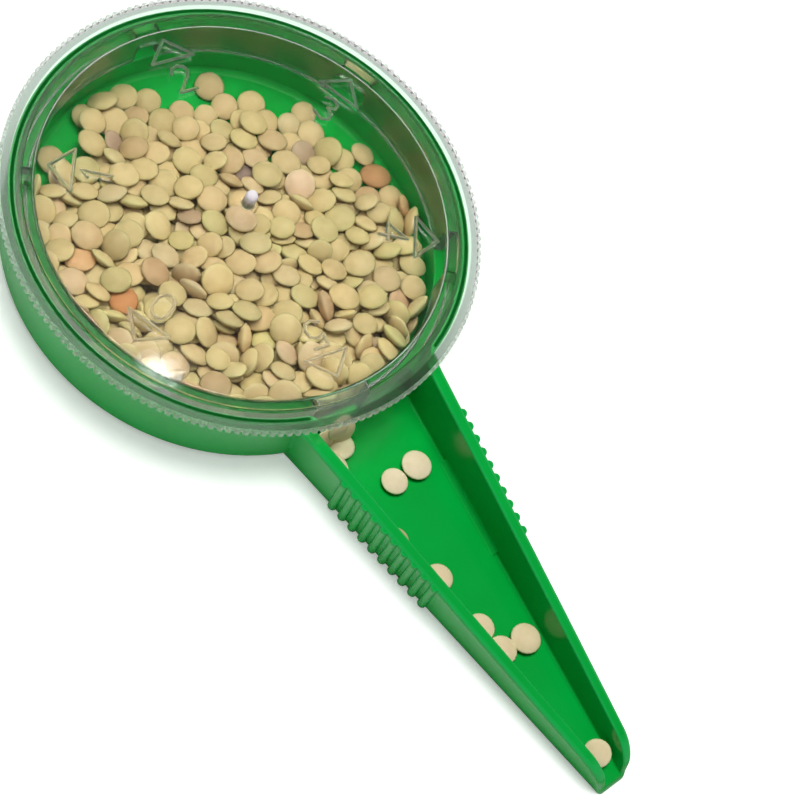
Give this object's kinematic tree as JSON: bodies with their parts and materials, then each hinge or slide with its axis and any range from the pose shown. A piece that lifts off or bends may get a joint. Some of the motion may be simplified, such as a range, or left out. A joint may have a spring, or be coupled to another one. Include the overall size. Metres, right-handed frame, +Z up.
{
  "type": "dial seed sower",
  "caption": "Handheld seed sower: a round cup that runs out into a tapering open chute, closed by a clear knurled dial that turns to let seeds of one size out.",
  "frame": {"origin": "centre of the cup's flat underside, on the dial's axis", "axes": "+Z up along the dial's axis, +X along the chute from the cup to its end"},
  "size_m": [0.1294, 0.07, 0.0171],
  "materials": {
    "green_plastic": "injection moulded, smooth and glossy, vivid green",
    "clear_plastic": "injection moulded, clear and polished"
  },
  "bodies": {
    "cup": {"cup_and_chute": "green_plastic"},
    "dial": {"clear_dial": "clear_plastic"}
  },
  "joints": [
    {"name": "dial_turn", "type": "hinge", "parent": "cup", "child": "dial", "pos_m": [0, 0, 0.0127], "axis": [0, 0, 1], "continuous": true}
  ]
}
